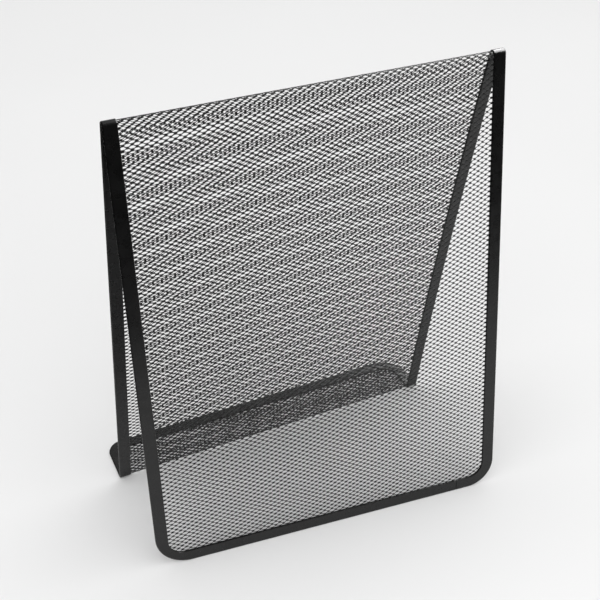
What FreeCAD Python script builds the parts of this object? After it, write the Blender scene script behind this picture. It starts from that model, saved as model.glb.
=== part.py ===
"""Mesh paper stand: one sheet of expanded steel folded over a ridge, bound with a steel strip.

The rear leg is a flat panel. The front leg turns out at its foot into a flat ledge that the
papers stand on. The two legs open wider at the right-hand end than at the left, so
every panel is a ruled surface between a left-hand and a right-hand profile.

Frame: millimetres, +Z up, X along the width, +Y towards the ledge, the table at Z = 0.
"""
import FreeCAD, Part
import os
import Sketcher

SIZES = [
    ("sheet_width", 240.0),        # overall width, over the edge strip
    ("ridge_base", 301.4),         # height at which both legs run into the ridge bend
    ("ridge_y", -21.25),           # the ridge line, from the middle of the footprint
    ("leg_top", 2.0),              # each leg's middle surface, out from the ridge line at ridge_base
    ("rear_foot_left", 33.9),      # feet, out from the ridge line
    ("rear_foot_right", 51.8),
    ("front_foot_left", 52.2),
    ("front_foot_right", 58.9),
    ("rear_bow", 0.6),             # outward bow at the middle of each leg
    ("front_bow_left", 0.5),
    ("front_bow_right", 2.7),
    ("ledge_depth", 36.0),
    ("foot_bend", 2.5),            # middle radius of the bend between the front leg and the ledge
    ("strip_width", 8.1),          # flange of the folded edge strip
    ("strip_half", 0.75),          # half of the strip's folded thickness
    ("strip_wall", 0.5),
    ("slot_half", 0.25),           # half of the slot inside the folded strip
    ("mesh_half", 0.2),            # half of the mesh's thickness
    ("mesh_inset", 0.6),           # the mesh's edge, in from the strip's outer edge
    ("rear_corner_left", 23.0),
    ("rear_corner_right", 19.0),
    ("window_corner_left", 11.0),  # the strip's inner edge at the rear leg's lower corners
    ("window_corner_right", 10.9),
    ("ledge_corner_left", 11.0),
    ("ledge_corner_right", 20.0),
    ("corner_zone", 24.0),         # height of the strip's bottom run, with both its corners
]
OUTSIDE = 2.0      # how far a cut reaches past the edge it trims
DIAGONAL = 0.70710678

YZ, XZ, XY = "YZ_Plane", "XZ_Plane", "XY_Plane"
ORIGIN = (-1, 1)


class Size:
    """A length held both as a number and as the spreadsheet formula that gives it."""

    def __init__(self, formula, value):
        self.formula = formula
        self.value = value

    @staticmethod
    def of(other):
        return other if isinstance(other, Size) else Size(repr(float(other)), float(other))

    def combine(self, other, sign, value):
        return Size("(%s %s %s)" % (self.formula, sign, other.formula), value)

    def __add__(self, other):
        other = Size.of(other)
        return self.combine(other, "+", self.value + other.value)

    def __sub__(self, other):
        other = Size.of(other)
        return self.combine(other, "-", self.value - other.value)

    def __mul__(self, other):
        other = Size.of(other)
        return self.combine(other, "*", self.value * other.value)

    def __truediv__(self, other):
        other = Size.of(other)
        return self.combine(other, "/", self.value / other.value)

    def __neg__(self):
        return self * -1.0


doc = FreeCAD.newDocument("MeshPaperStand")
sheet = doc.addObject("Spreadsheet::Sheet", "sizes")
size = {}
for row, (alias, number) in enumerate(SIZES, start=1):
    sheet.set("A%d" % row, alias)
    sheet.set("B%d" % row, str(number))
    sheet.setAlias("B%d" % row, alias)
    size[alias] = Size("sizes." + alias, number)
doc.recompute()

ZERO = Size.of(0.0)
HALF_WIDTH = size["sheet_width"] / 2
RIDGE_Y = size["ridge_y"]
RIDGE_BASE = size["ridge_base"]
TABLE_MID = size["strip_half"]                      # middle surface of the ledge, above the table
BEND_TOP = size["foot_bend"] + size["strip_half"]   # height at which the front leg meets its bend
REAR_CORNERS = (size["rear_corner_left"], size["rear_corner_right"])
WINDOW_CORNERS = (size["window_corner_left"] + size["strip_width"],
                  size["window_corner_right"] + size["strip_width"])
LEDGE_CORNERS = (size["ledge_corner_left"], size["ledge_corner_right"])


# ---------------------------------------------------------------- sketch helpers

def plane_of(body, role):
    return [f for f in body.Origin.OriginFeatures if f.Role == role][0]


def new_body(name):
    body = doc.addObject("PartDesign::Body", name)
    body.Label = name
    return body


def new_sketch(body, name, role, offset=ZERO):
    """A sketch on one of the body's own origin planes, moved along the plane's normal."""
    sketch = body.newObject("Sketcher::SketchObject", body.Name + "_" + name)
    sketch.AttachmentSupport = [(plane_of(body, role), "")]
    sketch.MapMode = "FlatFace"
    sketch.setExpression("AttachmentOffset.Base.z", offset.formula)
    return sketch


def bind(sketch, constraint, length):
    index = sketch.addConstraint(constraint)
    sketch.setExpression("Constraints[%d]" % index, length.formula)


def place_point(sketch, geometry, end, point):
    u, v = point
    bind(sketch, Sketcher.Constraint("DistanceX", *ORIGIN, geometry, end, u.value), u)
    bind(sketch, Sketcher.Constraint("DistanceY", *ORIGIN, geometry, end, v.value), v)


def vector(point):
    return FreeCAD.Vector(point[0].value, point[1].value, 0)


def closed_outline(sketch, corners, through):
    """Joins the corners in turn. through[i] is a point on the arc after corner i, or None."""
    count = len(corners)
    ends = []
    for i in range(count):
        start, stop = vector(corners[i]), vector(corners[(i + 1) % count])
        if through[i] is None:
            index = sketch.addGeometry(Part.LineSegment(start, stop))
            ends.append((index, 1, 2))
            continue
        arc = Part.Arc(start, vector(through[i]), stop)
        index = sketch.addGeometry(arc)
        forwards = sketch.getPoint(index, 1).distanceToPoint(start) < 1e-6
        ends.append((index, 1, 2) if forwards else (index, 2, 1))
        helper = sketch.addGeometry(Part.Point(vector(through[i])), True)
        place_point(sketch, helper, 1, through[i])
        sketch.addConstraint(Sketcher.Constraint("PointOnObject", helper, 1, index))
    for i in range(count):
        this, following = ends[i], ends[(i + 1) % count]
        sketch.addConstraint(Sketcher.Constraint("Coincident", this[0], this[2],
                                                 following[0], following[1]))
    for i in range(count):
        place_point(sketch, ends[i][0], ends[i][1], corners[i])


def loft_between(body, profile, left, right):
    """A solid ruled between the profile at X = left and the profile at X = right."""
    sections = []
    for name, x in (("left", left), ("right", right)):
        sketch = new_sketch(body, name, YZ, x)
        corners, through = profile(x)
        closed_outline(sketch, corners, through)
        sections.append(sketch)
    doc.recompute()
    loft = body.newObject("PartDesign::AdditiveLoft", body.Name + "_loft")
    loft.Profile = sections[0]
    loft.Sections = [sections[1]]
    loft.Ruled = True
    doc.recompute()
    body.Tip = loft


def pad_between(body, outline, low, high):
    """A flat slab with the given outline, from Z = low to Z = high."""
    sketch = new_sketch(body, "outline", XY, low)
    corners, through = outline
    closed_outline(sketch, corners, through)
    doc.recompute()
    pad = body.newObject("PartDesign::Pad", body.Name + "_pad")
    pad.Profile = sketch
    pad.setExpression("Length", (high - low).formula)
    doc.recompute()
    body.Tip = pad


def cut_through(body, name, role, outlines):
    """Cuts the closed outlines right through the body, both ways from the origin plane."""
    for number, (corners, through) in enumerate(outlines):
        sketch = new_sketch(body, "%s_%d" % (name, number), role)
        closed_outline(sketch, corners, through)
        doc.recompute()
        before = body.Shape.Volume
        pocket = body.newObject("PartDesign::Pocket", "%s_%s_cut_%d" % (body.Name, name, number))
        pocket.Profile = sketch
        pocket.Type = "ThroughAll"
        pocket.SideType = "Symmetric"
        doc.recompute()
        body.Tip = pocket
        if not body.Shape.Volume < before:
            raise RuntimeError("%s cut nothing" % pocket.Name)


def rounded_corner(edge, side, up, inset, radius):
    """The waste outside a rounded corner of a panel that is held in by inset.

    edge(x) is the height of the panel's edge; side and up are the outward directions, +1 or -1.
    """
    r = radius - inset
    bite = r * (1.0 - DIAGONAL)
    x = (HALF_WIDTH - inset) * side
    tangent, middle = x - r * side, x - bite * side
    corners = [
        (tangent, edge(tangent) - inset * up),
        (tangent, edge(tangent) + OUTSIDE * up),
        (x + OUTSIDE * side, edge(x) + OUTSIDE * up),
        (x + OUTSIDE * side, edge(x) - (inset + r) * up),
        (x, edge(x) - (inset + r) * up),
    ]
    return corners, [None] * 4 + [(middle, edge(middle) - (inset + bite) * up)]


def box_outline(low, high):
    corners = [(low[0], low[1]), (high[0], low[1]), (high[0], high[1]), (low[0], high[1])]
    return corners, [None] * 4


# ---------------------------------------------------------------- profiles

def along_width(left, right, x):
    """A length that runs evenly from its left-hand value to its right-hand value."""
    return left + (right - left) * (x + HALF_WIDTH) / size["sheet_width"]


def rear_foot(x):
    return RIDGE_Y - along_width(size["rear_foot_left"], size["rear_foot_right"], x)


def front_foot(x):
    return RIDGE_Y + along_width(size["front_foot_left"], size["front_foot_right"], x)


def leg_corners(top, foot, half, bottom):
    """A leg seen along X, a thickness either side of the line from its top to its foot."""
    return [
        (foot - half, bottom),
        (foot + half, bottom),
        (top + half, RIDGE_BASE),
        (top - half, RIDGE_BASE),
    ]


def bowed_leg(top, foot_at, bow_at, half, bottom):
    """A leg that is a long arc on each face. bow_at(x) is how far its middle stands out in Y."""
    height = (RIDGE_BASE + bottom) / 2

    def at(x):
        foot = foot_at(x)
        middle = (top + foot) / 2 + bow_at(x)
        through = [None, (middle + half, height), None, (middle - half, height)]
        return leg_corners(top, foot, half, bottom), through
    return at


def rear_profile(half, bottom=ZERO):
    top = RIDGE_Y - size["leg_top"]
    return bowed_leg(top, rear_foot, lambda x: -size["rear_bow"], half, bottom)


def front_bow(x):
    return along_width(size["front_bow_left"], size["front_bow_right"], x)


def front_profile(half):
    return bowed_leg(RIDGE_Y + size["leg_top"], front_foot, front_bow, half, BEND_TOP)


def bend_end(x):
    return front_foot(x) + size["foot_bend"]


def ledge_end(x):
    return front_foot(x) + size["ledge_depth"]


def bend_arc(x, radius):
    """A point half-way round the bend at the front foot."""
    return bend_end(x) - radius * DIAGONAL, BEND_TOP - radius * DIAGONAL


def bend_profile(half):
    """The bend at the front foot alone, seen along X."""
    inner, outer = size["foot_bend"] - half, size["foot_bend"] + half

    def at(x):
        corners = [
            (front_foot(x) - half, BEND_TOP),
            (bend_end(x), TABLE_MID - half),
            (bend_end(x), TABLE_MID + half),
            (front_foot(x) + half, BEND_TOP),
        ]
        return corners, [bend_arc(x, outer), None, bend_arc(x, inner), None]
    return at


def ledge_profile(half, end_inset):
    """The bend at the front foot and the flat ledge in one, seen along X."""
    inner, outer = size["foot_bend"] - half, size["foot_bend"] + half

    def at(x):
        end = ledge_end(x) - end_inset
        corners = [
            (front_foot(x) - half, BEND_TOP),
            (bend_end(x), TABLE_MID - half),
            (end, TABLE_MID - half),
            (end, TABLE_MID + half),
            (bend_end(x), TABLE_MID + half),
            (front_foot(x) + half, BEND_TOP),
        ]
        return corners, [bend_arc(x, outer), None, None, None, bend_arc(x, inner), None]
    return at


def ridge_profile(half):
    """The bend over the ridge, seen along X."""
    outer, inner = size["leg_top"] + half, size["leg_top"] - half
    corners = [
        (RIDGE_Y - outer, RIDGE_BASE),
        (RIDGE_Y + outer, RIDGE_BASE),
        (RIDGE_Y + inner, RIDGE_BASE),
        (RIDGE_Y - inner, RIDGE_BASE),
    ]
    through = [
        (RIDGE_Y, RIDGE_BASE + outer * 0.83),
        None,
        (RIDGE_Y, RIDGE_BASE + inner * 0.83),
        None,
    ]
    return lambda x: (corners, through)


# ---------------------------------------------------------------- panels: the mesh, and its slot

def rear_edge(x):
    return ZERO


def round_off(body, role, edge, up, inset, radii):
    """Cuts both corners of a panel's edge round, the left-hand one and the right-hand one."""
    waste = [rounded_corner(edge, side, up, inset, r) for side, r in zip((-1, 1), radii)]
    cut_through(body, "corner", role, waste)


def bent_panel(name, profile, inset):
    """A panel across the whole width, held in from the strip's outer edge."""
    body = new_body(name)
    loft_between(body, profile, inset - HALF_WIDTH, HALF_WIDTH - inset)
    return body


def rear_panel(name, half, inset):
    body = bent_panel(name, rear_profile(half, inset), inset)
    round_off(body, XZ, rear_edge, -1, inset, REAR_CORNERS)
    return body


def rounded_end(edge, up, inset, radii, opening):
    """An outline held in by inset: straight at opening(x), with two rounded corners at edge(x)."""
    left, right = radii[0] - inset, radii[1] - inset
    left_bite, right_bite = left * (1.0 - DIAGONAL), right * (1.0 - DIAGONAL)
    x = HALF_WIDTH - inset
    corners = [
        (-x, opening(-x)),
        (-x, edge(-x) - radii[0] * up),
        (left - x, edge(left - x) - inset * up),
        (x - right, edge(x - right) - inset * up),
        (x, edge(x) - radii[1] * up),
        (x, opening(x)),
    ]
    left_arc = (left_bite - x, edge(left_bite - x) - (inset + left_bite) * up)
    right_arc = (x - right_bite, edge(x - right_bite) - (inset + right_bite) * up)
    return corners, [None, left_arc, None, right_arc, None, None]


def flat_ledge(name, half, inset):
    """The ledge beyond its bend, flat on the table."""
    body = new_body(name)
    outline = rounded_end(ledge_end, 1, inset, LEDGE_CORNERS, bend_end)
    pad_between(body, outline, TABLE_MID - half, TABLE_MID + half)
    return body


half, inset = size["mesh_half"], size["mesh_inset"]
ledge_mesh = bent_panel("ledge_mesh", ledge_profile(half, inset), inset)
round_off(ledge_mesh, XY, ledge_end, 1, inset, LEDGE_CORNERS)
mesh = [
    rear_panel("rear_mesh", half, inset),
    bent_panel("front_mesh", front_profile(half), inset),
    bent_panel("ridge_mesh", ridge_profile(half), inset),
    ledge_mesh,
]

half, inset = size["slot_half"], size["strip_wall"]
slot = {
    "rear": rear_panel("rear_slot", half, inset),
    "front": bent_panel("front_slot", front_profile(half), inset),
    "ridge": bent_panel("ridge_slot", ridge_profile(half), inset),
    "foot": bent_panel("foot_slot", bend_profile(half), inset),
    "ledge": flat_ledge("ledge_slot", half, inset),
}


# ---------------------------------------------------------------- the folded edge strip

def fold_strip(name, blank, kind):
    """Takes the mesh's slot out of the solid strip, which leaves a folded channel."""
    cut = doc.addObject("Part::Cut", name)
    cut.Base = blank
    cut.Tool = slot[kind]
    cut.Label = name
    return cut


def side_strip(kind, side_name, profile):
    """A run of the strip along the left-hand or the right-hand edge of one panel."""
    name = "%s_strip_%s" % (kind, side_name)
    blank = new_body(name + "_blank")
    if side_name == "left":
        loft_between(blank, profile, -HALF_WIDTH, size["strip_width"] - HALF_WIDTH)
    else:
        loft_between(blank, profile, HALF_WIDTH - size["strip_width"], HALF_WIDTH)
    if kind == "rear":
        beyond = HALF_WIDTH + OUTSIDE
        foot = box_outline((-beyond, -size["corner_zone"]), (beyond, size["corner_zone"]))
        cut_through(blank, "foot", XZ, [foot])
    return fold_strip(name, blank, kind)


def bottom_strip():
    """The strip's run along the rear leg's lower edge, with both corners."""
    blank = new_body("rear_strip_bottom_blank")
    loft_between(blank, strip_profile["rear"], -HALF_WIDTH, HALF_WIDTH)
    round_off(blank, XZ, rear_edge, -1, ZERO, REAR_CORNERS)
    beyond = HALF_WIDTH + OUTSIDE
    above = box_outline((-beyond, size["corner_zone"]), (beyond, RIDGE_BASE + OUTSIDE))
    inside = rounded_end(rear_edge, -1, size["strip_width"], WINDOW_CORNERS,
                         lambda x: RIDGE_BASE)
    cut_through(blank, "above", XZ, [above])
    cut_through(blank, "window", XZ, [inside])
    return fold_strip("rear_strip_bottom", blank, "rear")


def ledge_strip():
    """The strip's run around the flat ledge."""
    blank = flat_ledge("ledge_strip_blank", size["strip_half"], ZERO)
    inside = rounded_end(ledge_end, 1, size["strip_width"], LEDGE_CORNERS,
                         lambda x: RIDGE_Y)
    cut_through(blank, "window", XY, [inside])
    return fold_strip("ledge_strip", blank, "ledge")


strip_profile = {
    "rear": rear_profile(size["strip_half"]),
    "front": front_profile(size["strip_half"]),
    "ridge": ridge_profile(size["strip_half"]),
    "foot": bend_profile(size["strip_half"]),
}
strips = [bottom_strip(), ledge_strip()]
for kind, profile in strip_profile.items():
    for side_name in ("left", "right"):
        strips.append(side_strip(kind, side_name, profile))

doc.recompute()


# ---------------------------------------------------------------- checks and export

nodes = mesh + strips
for item in doc.Objects:
    if "Invalid" in item.State or "Error" in item.State:
        raise RuntimeError("%s failed: %s" % (item.Name, item.State))
for node in nodes:
    if node.Shape.isNull() or not node.Shape.isValid() or len(node.Shape.Solids) != 1:
        raise RuntimeError("%s isn't one valid solid" % node.Label)

os.makedirs("parts", exist_ok=True)
for node in nodes:
    node.Shape.exportStep(os.path.join("parts", node.Label + ".step"))
    box = node.Shape.BoundBox
    print("%-20s x %7.2f %7.2f  y %7.2f %7.2f  z %7.2f %7.2f  %9.1f mm3"
          % (node.Label, box.XMin, box.XMax, box.YMin, box.YMax, box.ZMin, box.ZMax,
             node.Shape.Volume))
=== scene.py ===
"""Looks for the mesh paper stand: a sheet of expanded steel, folded, in a folded edge strip.

The sheet is described by two coordinates: x, across its width, and s, along it, both in
millimetres of flat sheet. s is 0 on the ridge, negative down the rear leg and positive down
the front leg and out over the ledge. place() bends that flat sheet into the stand, so the
strands of the mesh and the edge strip are both laid out flat and then folded together.
"""
import math

import bpy
import numpy as np
from mathutils import Matrix


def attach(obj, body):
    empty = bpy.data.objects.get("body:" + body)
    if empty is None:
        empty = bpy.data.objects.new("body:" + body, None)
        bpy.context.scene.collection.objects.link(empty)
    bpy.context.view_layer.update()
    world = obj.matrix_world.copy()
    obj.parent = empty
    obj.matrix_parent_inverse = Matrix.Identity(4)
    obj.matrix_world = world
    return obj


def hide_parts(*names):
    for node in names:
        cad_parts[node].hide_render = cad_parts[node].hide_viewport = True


MM = 0.001

# ---------------------------------------------------------------- sizes, in millimetres

HALF_WIDTH = 120.0
RIDGE_BASE = 301.4
RIDGE_Y = -21.25
LEG_TOP = 2.0
RIDGE_RISE_SHARE = 0.83
RIDGE_RISE = RIDGE_RISE_SHARE * LEG_TOP
REAR_FOOT = (33.9, 51.8)
FRONT_FOOT = (52.2, 58.9)
FRONT_BOW = (0.5, 2.7)
LEDGE_DEPTH = 36.0
FOOT_BEND = 2.5
TABLE_MID = 0.75

# This small bow follows the CAD, where it was put in so that the long thin runs of the strip
# are meshed finely enough. The real leg is straight or nearly so.
REAR_BOW = 0.6

STRIP_WIDTH = 8.1
STRIP_HALF = 0.75
STRIP_WALL = 0.5
STRIP_ROUND = 0.15
REAR_CORNER = (23.0, 19.0)
WINDOW_CORNER = (11.0, 10.9)
LEDGE_CORNER = (11.0, 20.0)
JOINT_X = 92.0
JOINT_GAP = 0.45

CELL_LONG = 5.283
CELL_SHORT = 3.262
STRAND = 0.34
BOND_LENGTH = 1.7
BOND_HEIGHT = 1.3
SHEET_HALF = 0.16
STRAND_TILT = 0.04
MESH_EDGE = 0.9

# how finely the edge strip is divided, along its route and round its fold
LEG_STEPS = 40
RIDGE_STEPS = 20
BEND_STEPS = 12
LEDGE_STEPS = 3
EDGE_STEPS = 16
JOINT_STEPS = 2
CORNER_STEPS = 16
OUTER_FOLD_STEPS = 10
INNER_FOLD_STEPS = 6

# the strip's edges that turn by more than this many degrees aren't shaded smooth
SHARP_ANGLE = 50

# the half of the UV map that each face of the mesh fills, and the margin at its sides
MAP_HALF = 0.5
MAP_MARGIN = 0.01
MAP_WIDTH = MAP_HALF - 2 * MAP_MARGIN

# how long each stretch of the sheet is
RIDGE_RADIUS = (LEG_TOP ** 2 + RIDGE_RISE ** 2) / (2 * RIDGE_RISE)
RIDGE_TURN = math.asin(LEG_TOP / RIDGE_RADIUS)
RIDGE_HALF = RIDGE_RADIUS * RIDGE_TURN
BEND_TOP = FOOT_BEND + TABLE_MID
REAR_LEG = math.hypot(RIDGE_BASE, sum(REAR_FOOT) / 2 - LEG_TOP)
FRONT_LEG = math.hypot(RIDGE_BASE - BEND_TOP, sum(FRONT_FOOT) / 2 - LEG_TOP)
BEND_LENGTH = FOOT_BEND * math.pi / 2
S_REAR = -(RIDGE_HALF + REAR_LEG)
S_FOOT = RIDGE_HALF + FRONT_LEG
S_LEDGE = S_FOOT + BEND_LENGTH
S_END = S_LEDGE + LEDGE_DEPTH - FOOT_BEND

# ---------------------------------------------------------------- looks

PAINT_SPECULAR = 0.42
PAINT_SHADES = (0.003, 0.006)
SHADE_STOPS = (0.35, 0.7)
SHADE_SCALE = 60
GLOSS_SCALE = 180
PEEL_DEPTH = 0.0001
STRIP_ROUGHNESS = (0.24, 0.32)
STRIP_PEEL_SCALE = 900
STRIP_PEEL = 0.25
MESH_ROUGHNESS = (0.32, 0.44)
MESH_PEEL_SCALE = 1200
MESH_PEEL = 0.2

FLOOR_SHADES = (0.80, 0.83)
FLOOR_STOPS = (0.3, 0.7)
FLOOR_SCALE = 1.5
FLOOR_ROUGHNESS = 0.9
CARD_SHADE = 0.002

# the band that most values of a noise texture lie in
NOISE_BAND = (0.3, 0.7)

# ---------------------------------------------------------------- studio, in metres and watts

FLOOR_SIZE = 12
CARD_HEIGHT = 1.1
FRONT_CARD = ((-0.45, -0.24), (1.4, -0.80))
LEFT_CARD = ((-0.26, -0.23), (-0.26, 0.60))
WORLD_STRENGTH = 0.45

OVERHEAD_PLACE = (-0.1, -1.25, 2.7)
OVERHEAD_TARGET = (0, -0.65, 0)
OVERHEAD_SIZE = (5.5, 5.5)
OVERHEAD_WATTS = 130
PANEL_PLACE = (1.6, 0.6, 2.2)
PANEL_TARGET = (0, 0.6, 2.2)
PANEL_SIZE = (3.2, 1.4)
PANEL_WATTS = 300
NEARLY_UPRIGHT = 0.9

# the camera's heading, downward pitch and roll in degrees, and its place and lens in millimetres
CAMERA_ANGLES = (24.54, 36.43, 0.95)
CAMERA_PLACE = (-236.58, RIDGE_Y - 502.27, 566.78)
CAMERA_LENS = 66.74
CAMERA_SENSOR = 36.0


# ---------------------------------------------------------------- the folded surface

def across(pair, x):
    """A length that runs evenly from its left-hand value to its right-hand value."""
    return pair[0] + (pair[1] - pair[0]) * (x + HALF_WIDTH) / (2 * HALF_WIDTH)


def leg(v, foot, bow, height_top, height_foot, sign):
    """Middle surface and outward normal of a leg, v from 0 at its top to 1 at its foot.

    The leg is a parabola that stands out from the straight line by bow at its middle.
    """
    y = LEG_TOP + (foot - LEG_TOP) * v + 4 * bow * v * (1 - v)
    z = height_top + (height_foot - height_top) * v
    dy = foot - LEG_TOP + 4 * bow * (1 - 2 * v)
    dz = height_foot - height_top
    length = np.hypot(dy, dz)
    return RIDGE_Y + sign * y, z, sign * -dz / length, dy / length


def place(x, s, depth):
    """Folds flat-sheet points into the stand. depth is out from the sheet's middle."""
    x, s, depth = np.broadcast_arrays(np.float64(x), np.float64(s), np.float64(depth))
    rear = leg((-s - RIDGE_HALF) / REAR_LEG, across(REAR_FOOT, x), REAR_BOW, RIDGE_BASE, 0.0, -1)
    front = leg((s - RIDGE_HALF) / FRONT_LEG, across(FRONT_FOOT, x), across(FRONT_BOW, x),
                RIDGE_BASE, BEND_TOP, 1)
    turn = s / RIDGE_RADIUS
    ridge = (RIDGE_Y + RIDGE_RADIUS * np.sin(turn),
             RIDGE_BASE + RIDGE_RISE - RIDGE_RADIUS + RIDGE_RADIUS * np.cos(turn),
             np.sin(turn), np.cos(turn))
    foot = RIDGE_Y + across(FRONT_FOOT, x)
    turn = (s - S_FOOT) / FOOT_BEND
    bend = (foot + FOOT_BEND * (1 - np.cos(turn)), BEND_TOP - FOOT_BEND * np.sin(turn),
            np.cos(turn), np.sin(turn))
    ledge = (foot + FOOT_BEND + s - S_LEDGE, np.full_like(s, TABLE_MID),
             np.zeros_like(s), np.ones_like(s))
    here = [s < -RIDGE_HALF, s < RIDGE_HALF, s < S_FOOT, s < S_LEDGE]
    y, z, ny, nz = (np.select(here, parts[:-1], parts[-1])
                    for parts in zip(rear, ridge, front, bend, ledge))
    return np.stack([x, y + ny * depth, z + nz * depth], axis=-1) * MM


def inside(x, s, inset):
    """Whether flat-sheet points lie inside the sheet's rounded outline, held in by inset."""
    half = HALF_WIDTH - inset
    low, high = S_REAR + inset, S_END - inset
    r = np.where(s < 0, np.where(x < 0, *REAR_CORNER), np.where(x < 0, *LEDGE_CORNER)) - inset
    past_x = np.abs(x) - (half - r)
    past_s = np.maximum(low + r - s, s - (high - r))
    in_corner = (past_x > 0) & (past_s > 0)
    in_box = (np.abs(x) <= half) & (s >= low) & (s <= high)
    return in_box & (~in_corner | (np.hypot(past_x, past_s) <= r))


# ---------------------------------------------------------------- materials

def new_material(name, build):
    material = bpy.data.materials.new(name)
    material.use_nodes = True
    nodes = material.node_tree.nodes
    build(material.node_tree, nodes["Principled BSDF"])
    return material


def noise(tree, scale, detail):
    """A noise texture in the object's own space, where one unit is a metre."""
    coords = tree.nodes.new("ShaderNodeTexCoord")
    texture = tree.nodes.new("ShaderNodeTexNoise")
    texture.inputs["Scale"].default_value = scale
    texture.inputs["Detail"].default_value = detail
    tree.links.new(coords.outputs["Object"], texture.inputs["Vector"])
    return texture.outputs["Fac"]


def ramp(tree, source, stops, shades):
    """Turns a value into a grey, from the first shade at the first stop to the second."""
    node = tree.nodes.new("ShaderNodeValToRGB")
    for element, stop, shade in zip(node.color_ramp.elements, stops, shades):
        element.position = stop
        element.color = (shade, shade, shade, 1)
    tree.links.new(source, node.inputs["Fac"])
    return node.outputs["Color"]


def value_range(tree, source, low, high):
    """Spreads a noise texture's values between low and high."""
    node = tree.nodes.new("ShaderNodeMapRange")
    node.inputs["From Min"].default_value = NOISE_BAND[0]
    node.inputs["From Max"].default_value = NOISE_BAND[1]
    node.inputs["To Min"].default_value = low
    node.inputs["To Max"].default_value = high
    tree.links.new(source, node.inputs["Value"])
    return node.outputs["Result"]


def paint(roughness, peel_scale, peel_strength):
    """Satin black paint: slightly uneven in colour and gloss, with a fine orange peel."""
    def build(tree, shader):
        shader.inputs["Specular IOR Level"].default_value = PAINT_SPECULAR
        colour = ramp(tree, noise(tree, SHADE_SCALE, detail=4), SHADE_STOPS, PAINT_SHADES)
        tree.links.new(colour, shader.inputs["Base Color"])
        rough = value_range(tree, noise(tree, GLOSS_SCALE, detail=3), *roughness)
        tree.links.new(rough, shader.inputs["Roughness"])
        peel = tree.nodes.new("ShaderNodeBump")
        peel.inputs["Strength"].default_value = peel_strength
        peel.inputs["Distance"].default_value = PEEL_DEPTH
        tree.links.new(noise(tree, peel_scale, detail=2), peel.inputs["Height"])
        tree.links.new(peel.outputs["Normal"], shader.inputs["Normal"])
    return build


def pale(tree, shader):
    """The floor: a matt, very slightly uneven light grey."""
    colour = ramp(tree, noise(tree, FLOOR_SCALE, detail=3), FLOOR_STOPS, FLOOR_SHADES)
    tree.links.new(colour, shader.inputs["Base Color"])
    shader.inputs["Roughness"].default_value = FLOOR_ROUGHNESS


# ---------------------------------------------------------------- meshes

def add_object(name, vertices, faces, material):
    data = bpy.data.meshes.new(name)
    data.from_pydata(vertices.tolist(), [], faces)
    data.validate()
    data.update()
    data.materials.append(material)
    piece = bpy.data.objects.new(name, data)
    bpy.context.scene.collection.objects.link(piece)
    return piece


def hole_outline():
    """The hexagonal hole of one cell, in flat-sheet millimetres, anticlockwise.

    Its tip is where it leaves slanting strands of the right thickness between the bonds.
    """
    high = (CELL_SHORT - BOND_HEIGHT) / 2
    flat = BOND_LENGTH / 2
    slope = (CELL_SHORT / 2 - STRAND) / high
    tip = (CELL_LONG / 2 - slope * flat) / (2 - slope)
    return [(tip, 0), (flat, high), (-flat, high), (-tip, 0), (-flat, -high), (flat, -high)]


# A cell is a diamond with a hole in it. Its corners are numbered 0 to 3, in half cells from its
# middle, the hole's corners are lettered a to f, and six faces fill the ring between them.
RIM_CORNERS = [(1, 0), (0, 1), (-1, 0), (0, -1)]
HOLE_CORNERS = "abcdef"
RING_FACES = [(0, 1, "b", "a"), (1, "c", "b"), (1, 2, "d", "c"),
              (2, 3, "e", "d"), (3, "f", "e"), (3, 0, "a", "f")]


def mesh_cells(s_low, s_high):
    """Lattice positions of the cells whose middles lie between s_low and s_high."""
    # a few more rows and columns than fit, trimmed below
    columns = int(2 * HALF_WIDTH / CELL_LONG) + 2
    rows = np.arange(int(s_low * 2 / CELL_SHORT) - 2, int(s_high * 2 / CELL_SHORT) + 3)
    i, j = np.meshgrid(np.arange(-columns, columns + 1), rows)
    i, j = i.ravel(), j.ravel()
    x, s = i * CELL_LONG / 2, j * CELL_SHORT / 2
    keep = ((i + j) % 2 == 0) & (s >= s_low) & (s < s_high)
    for a, b in RIM_CORNERS:
        keep &= inside(x + a * CELL_LONG / 2, s + b * CELL_SHORT / 2, MESH_EDGE)
    return i[keep], j[keep]


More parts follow.
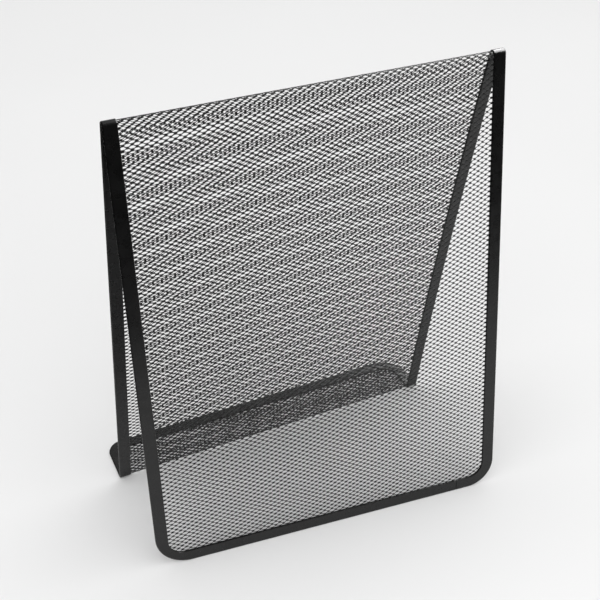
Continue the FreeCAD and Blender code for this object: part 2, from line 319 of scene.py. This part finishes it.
def expanded_metal(name, s_low, s_high, material):
    """A stretch of the mesh: every strand and bond, as one closed surface.

    Each strand leans a little out of the sheet's plane, as slitting and drawing leaves it.
    """
    i, j = mesh_cells(s_low, s_high)
    corner_keys = np.stack([np.stack([i + a, j + b], -1) for a, b in RIM_CORNERS], 1)
    unique, rim = np.unique(corner_keys.reshape(-1, 2), axis=0, return_inverse=True)
    rim = rim.reshape(-1, 4)
    outline = np.array(hole_outline())
    x = i[:, None] * CELL_LONG / 2 + outline[:, 0]
    s = j[:, None] * CELL_SHORT / 2 + outline[:, 1]
    tilt = np.broadcast_to(-np.sign(s - j[:, None] * CELL_SHORT / 2) * STRAND_TILT, s.shape)
    flat_x = np.concatenate([unique[:, 0] * CELL_LONG / 2, x.ravel()])
    flat_s = np.concatenate([unique[:, 1] * CELL_SHORT / 2, s.ravel()])
    depth = np.concatenate([np.zeros(len(unique)), tilt.ravel()])
    count = len(flat_x)
    vertices = np.concatenate([place(flat_x, flat_s, depth + SHEET_HALF),
                               place(flat_x, flat_s, depth - SHEET_HALF)])
    hole = len(unique) + np.arange(x.size).reshape(x.shape)

    faces = []
    for ring in RING_FACES:
        top = np.stack([rim[:, k] if isinstance(k, int) else hole[:, HOLE_CORNERS.index(k)]
                        for k in ring], -1)
        faces += top.tolist()
        faces += (top[:, ::-1] + count).tolist()
    following = np.roll(hole, -1, axis=1)
    walls = np.stack([hole, following, following + count, hole + count], -1)
    faces += walls.reshape(-1, 4).tolist()

    edges = np.stack([rim, np.roll(rim, -1, axis=1)], -1).reshape(-1, 2)
    _, first, uses = np.unique(np.sort(edges, 1), axis=0, return_index=True, return_counts=True)
    free = edges[first[uses == 1]]
    outer = np.stack([free[:, 1], free[:, 0], free[:, 0] + count, free[:, 1] + count], -1)
    faces += outer.tolist()

    piece = add_object(name, vertices, faces, material)
    piece.data.shade_smooth()
    flat_map(piece, flat_x, flat_s, s_low, s_high)
    return piece


def flat_map(piece, x, s, s_low, s_high):
    """UVs from the flat sheet: outer face in the left half of the map, inner in the right."""
    layer = piece.data.uv_layers.new(name="OFBake")
    u = (x + HALF_WIDTH) / (2 * HALF_WIDTH)
    v = (s - s_low + CELL_SHORT) / (s_high - s_low + 2 * CELL_SHORT)
    u = MAP_MARGIN + MAP_WIDTH * u
    u = np.concatenate([u, u + MAP_HALF])
    v = np.concatenate([v, v])
    index = np.empty(len(piece.data.loops), np.int64)
    piece.data.loops.foreach_get("vertex_index", index)
    layer.data.foreach_set("uv", np.stack([u[index], v[index]], -1).ravel())


def strip_section():
    """The folded strip's section, as (in from the edge, out from the middle), anticlockwise."""
    inner = STRIP_HALF - STRIP_WALL
    flat = [STRIP_WIDTH - STRIP_ROUND, STRIP_WIDTH - 3 * STRIP_ROUND, STRIP_HALF + STRIP_ROUND]
    outside = [(STRIP_WIDTH, STRIP_HALF - STRIP_ROUND), *((w, STRIP_HALF) for w in flat)]
    for k in range(OUTER_FOLD_STEPS + 1):
        a = math.pi / 2 + math.pi * k / OUTER_FOLD_STEPS
        outside.append((STRIP_HALF + STRIP_HALF * math.cos(a), STRIP_HALF * math.sin(a)))
    outside += [*((w, -STRIP_HALF) for w in flat[::-1]), (STRIP_WIDTH, STRIP_ROUND - STRIP_HALF)]
    within = [(STRIP_WIDTH, -inner)]
    for k in range(INNER_FOLD_STEPS + 1):
        a = 3 * math.pi / 2 - math.pi * k / INNER_FOLD_STEPS
        within.append((STRIP_HALF + inner * math.cos(a), inner * math.sin(a)))
    within.append((STRIP_WIDTH, inner))
    return outside + within


def steps(start, stop, count):
    """Evenly spaced values from start, leaving stop to whatever follows."""
    return np.linspace(start, stop, count, endpoint=False)


def flange_share(outer, inner, c, d):
    """The flange's width along a corner's radius, as a share of its width along the sides.

    The strip's inner edge turns with the radius inner, which needn't be concentric with outer.
    """
    far, near = max(abs(c), abs(d)), min(abs(c), abs(d))
    shift = outer - STRIP_WIDTH - inner
    reach = (outer - STRIP_WIDTH) / far
    if reach * near > shift:
        reach = shift * (far + near) + math.sqrt(inner ** 2 - shift ** 2 * (1 - 2 * far * near))
    return (outer - reach) / STRIP_WIDTH


def strip_route():
    """The strip's way round the flat outline: rows of x, s and the inward direction in x and s."""
    half, bottom, end = HALF_WIDTH, S_REAR, S_END
    rows = []

    def straight(points, inward):
        rows.extend((x, s, *inward) for x, s in points)

    def corner(x, s, r, inner, start):
        """A quarter turn of radius r, with the radius inner on the strip's inner edge."""
        cx, cs = x - math.copysign(r, x), s - math.copysign(r, s)
        for a in steps(start, start + math.pi / 2, CORNER_STEPS):
            c, d = math.cos(a), math.sin(a)
            share = flange_share(r, inner, c, d)
            rows.append((cx + r * c, cs + r * d, -c * share, -d * share))

    rear_left, rear_right = REAR_CORNER
    ledge_left, ledge_right = LEDGE_CORNER
    side = np.concatenate([
        steps(bottom + rear_right, -RIDGE_HALF, LEG_STEPS),
        steps(-RIDGE_HALF, RIDGE_HALF, RIDGE_STEPS),
        steps(RIDGE_HALF, S_FOOT, LEG_STEPS),
        steps(S_FOOT, S_LEDGE, BEND_STEPS),
        steps(S_LEDGE, end - ledge_right, LEDGE_STEPS),
    ])
    back = np.concatenate([
        steps(end - ledge_left, S_LEDGE, LEDGE_STEPS),
        steps(S_LEDGE, S_FOOT, BEND_STEPS),
        steps(S_FOOT, RIDGE_HALF, LEG_STEPS),
        steps(RIDGE_HALF, -RIDGE_HALF, RIDGE_STEPS),
        steps(-RIDGE_HALF, bottom + rear_left, LEG_STEPS),
    ])
    after_joint = steps(JOINT_X + JOINT_GAP / 2, half - rear_right, JOINT_STEPS)
    to_joint = np.linspace(rear_left - half, JOINT_X - JOINT_GAP / 2, EDGE_STEPS + 1)
    straight([(x, bottom) for x in after_joint], (0, 1))
    corner(half, bottom, rear_right, WINDOW_CORNER[1], -math.pi / 2)
    straight([(half, s) for s in side], (-1, 0))
    corner(half, end, ledge_right, ledge_right - STRIP_WIDTH, 0)
    front_edge = steps(half - ledge_right, ledge_left - half, EDGE_STEPS)
    straight([(x, end) for x in front_edge], (0, -1))
    corner(-half, end, ledge_left, ledge_left - STRIP_WIDTH, math.pi / 2)
    straight([(-half, s) for s in back], (1, 0))
    corner(-half, bottom, rear_left, WINDOW_CORNER[0], math.pi)
    straight([(x, bottom) for x in to_joint], (0, 1))
    return np.array(rows)


def edge_strip(material):
    """The whole edge strip, swept round the outline, with its two ends at the butt joint."""
    route = strip_route()
    section = np.array(strip_section())
    x = route[:, None, 0] + route[:, None, 2] * section[None, :, 0]
    s = route[:, None, 1] + route[:, None, 3] * section[None, :, 0]
    vertices = place(x, s, np.broadcast_to(section[None, :, 1], x.shape)).reshape(-1, 3)
    stations, points = len(route), len(section)
    index = np.arange(stations * points).reshape(stations, points)
    after = np.roll(index, -1, axis=1)
    quads = np.stack([index[:-1], index[1:], after[1:], after[:-1]], -1)
    faces = quads.reshape(-1, 4).tolist()
    faces.append(index[0].tolist())
    faces.append(index[-1][::-1].tolist())
    piece = add_object("edge_strip", vertices, faces, material)
    piece.data.shade_smooth()
    piece.data.set_sharp_from_angle(angle=math.radians(SHARP_ANGLE))
    return piece


# ---------------------------------------------------------------- studio

def add_stage():
    bpy.ops.mesh.primitive_plane_add(size=FLOOR_SIZE)
    floor = bpy.context.object
    floor.name = "floor"
    floor.data.materials.append(new_material("pale_floor", pale))


def area_light(name, position, target, size, watts):
    """A white rectangular light at position, facing target."""
    data = bpy.data.lights.new(name, "AREA")
    data.shape = "RECTANGLE"
    data.size, data.size_y = size
    data.energy = watts
    lamp = bpy.data.objects.new(name, data)
    bpy.context.scene.collection.objects.link(lamp)
    towards = np.array(position) - np.array(target)
    towards = towards / np.linalg.norm(towards)
    guide = (0.0, 1.0, 0.0) if abs(towards[2]) > NEARLY_UPRIGHT else (0.0, 0.0, 1.0)
    side = np.cross(guide, towards)
    side = side / np.linalg.norm(side)
    rows = [*zip(side, np.cross(towards, side), towards, position)]
    lamp.matrix_world = Matrix([*rows, (0, 0, 0, 1)])
    return lamp


def add_flag(name, start, stop, material):
    """A dark upright card on the floor, seen only by reflections, as a studio's flag is."""
    corners = np.array([(*start, 0.0), (*stop, 0.0), (*stop, CARD_HEIGHT), (*start, CARD_HEIGHT)])
    card = add_object(name, corners, [(0, 1, 2, 3)], material)
    card.visible_camera = False
    card.visible_diffuse = False
    card.visible_shadow = False
    card.visible_transmission = False


def black_card(tree, shader):
    shader.inputs["Base Color"].default_value = (CARD_SHADE, CARD_SHADE, CARD_SHADE, 1)
    shader.inputs["Roughness"].default_value = 1.0
    shader.inputs["Specular IOR Level"].default_value = 0.0


def add_lights():
    """An overhead light for the diffuse shading, a side panel for the gloss, and a white world."""
    overhead = area_light("overhead", OVERHEAD_PLACE, OVERHEAD_TARGET, OVERHEAD_SIZE,
                          OVERHEAD_WATTS)
    overhead.visible_glossy = False
    panel = area_light("side_panel", PANEL_PLACE, PANEL_TARGET, PANEL_SIZE, PANEL_WATTS)
    panel.visible_diffuse = False
    world = bpy.data.worlds.new("studio")
    world.use_nodes = True
    background = world.node_tree.nodes["Background"]
    background.inputs["Color"].default_value = (1.0, 1.0, 1.0, 1)
    background.inputs["Strength"].default_value = WORLD_STRENGTH
    bpy.context.scene.world = world


def add_camera():
    """The camera, turned from looking along y by its heading, then its pitch, then its roll."""
    yaw, pitch, roll = (math.radians(a) for a in CAMERA_ANGLES)
    forward = np.array([math.sin(yaw) * math.cos(pitch), math.cos(yaw) * math.cos(pitch),
                        -math.sin(pitch)])
    level = np.array([math.cos(yaw), -math.sin(yaw), 0.0])
    upright = np.cross(level, forward)
    right = math.cos(roll) * level + math.sin(roll) * upright
    up = math.cos(roll) * upright - math.sin(roll) * level
    position = np.array(CAMERA_PLACE) * MM
    data = bpy.data.cameras.new("camera")
    data.lens = CAMERA_LENS
    data.sensor_width = CAMERA_SENSOR
    camera = bpy.data.objects.new("camera", data)
    bpy.context.scene.collection.objects.link(camera)
    camera.matrix_world = Matrix([*zip(right, up, -forward, position), (0, 0, 0, 1)])
    bpy.context.scene.camera = camera


# ---------------------------------------------------------------- the scene

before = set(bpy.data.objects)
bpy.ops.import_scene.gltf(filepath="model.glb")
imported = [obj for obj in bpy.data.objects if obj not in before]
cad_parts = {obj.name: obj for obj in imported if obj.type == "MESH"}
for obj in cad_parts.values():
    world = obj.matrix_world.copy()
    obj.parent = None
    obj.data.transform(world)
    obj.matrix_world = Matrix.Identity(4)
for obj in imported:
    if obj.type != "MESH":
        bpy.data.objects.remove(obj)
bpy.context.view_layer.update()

strip_look = paint(STRIP_ROUGHNESS, STRIP_PEEL_SCALE, STRIP_PEEL)
mesh_look = paint(MESH_ROUGHNESS, MESH_PEEL_SCALE, MESH_PEEL)
strip_paint = new_material("strip_paint", strip_look)
mesh_paint = new_material("mesh_paint", mesh_look)

strip = edge_strip(strip_paint)
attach(strip, "root")
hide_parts(*[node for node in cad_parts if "strip" in node])

STRETCHES = [
    ("rear_mesh_lower", "rear_mesh", S_REAR, S_REAR / 2),
    ("rear_mesh_upper", "rear_mesh", S_REAR / 2, -RIDGE_HALF),
    ("ridge_mesh_fold", "ridge_mesh", -RIDGE_HALF, RIDGE_HALF),
    ("front_mesh_upper", "front_mesh", RIDGE_HALF, S_FOOT / 2),
    ("front_mesh_lower", "front_mesh", S_FOOT / 2, S_FOOT),
    ("ledge_mesh_panel", "ledge_mesh", S_FOOT, S_END),
]
for name, node, s_low, s_high in STRETCHES:
    panel = expanded_metal(name, s_low, s_high, mesh_paint)
    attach(panel, "root")
    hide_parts(node)

add_stage()
card_black = new_material("card_black", black_card)
add_flag("front_flag", *FRONT_CARD, card_black)
add_flag("left_flag", *LEFT_CARD, card_black)
add_lights()
add_camera()

bpy.context.scene.view_settings.view_transform = "Standard"
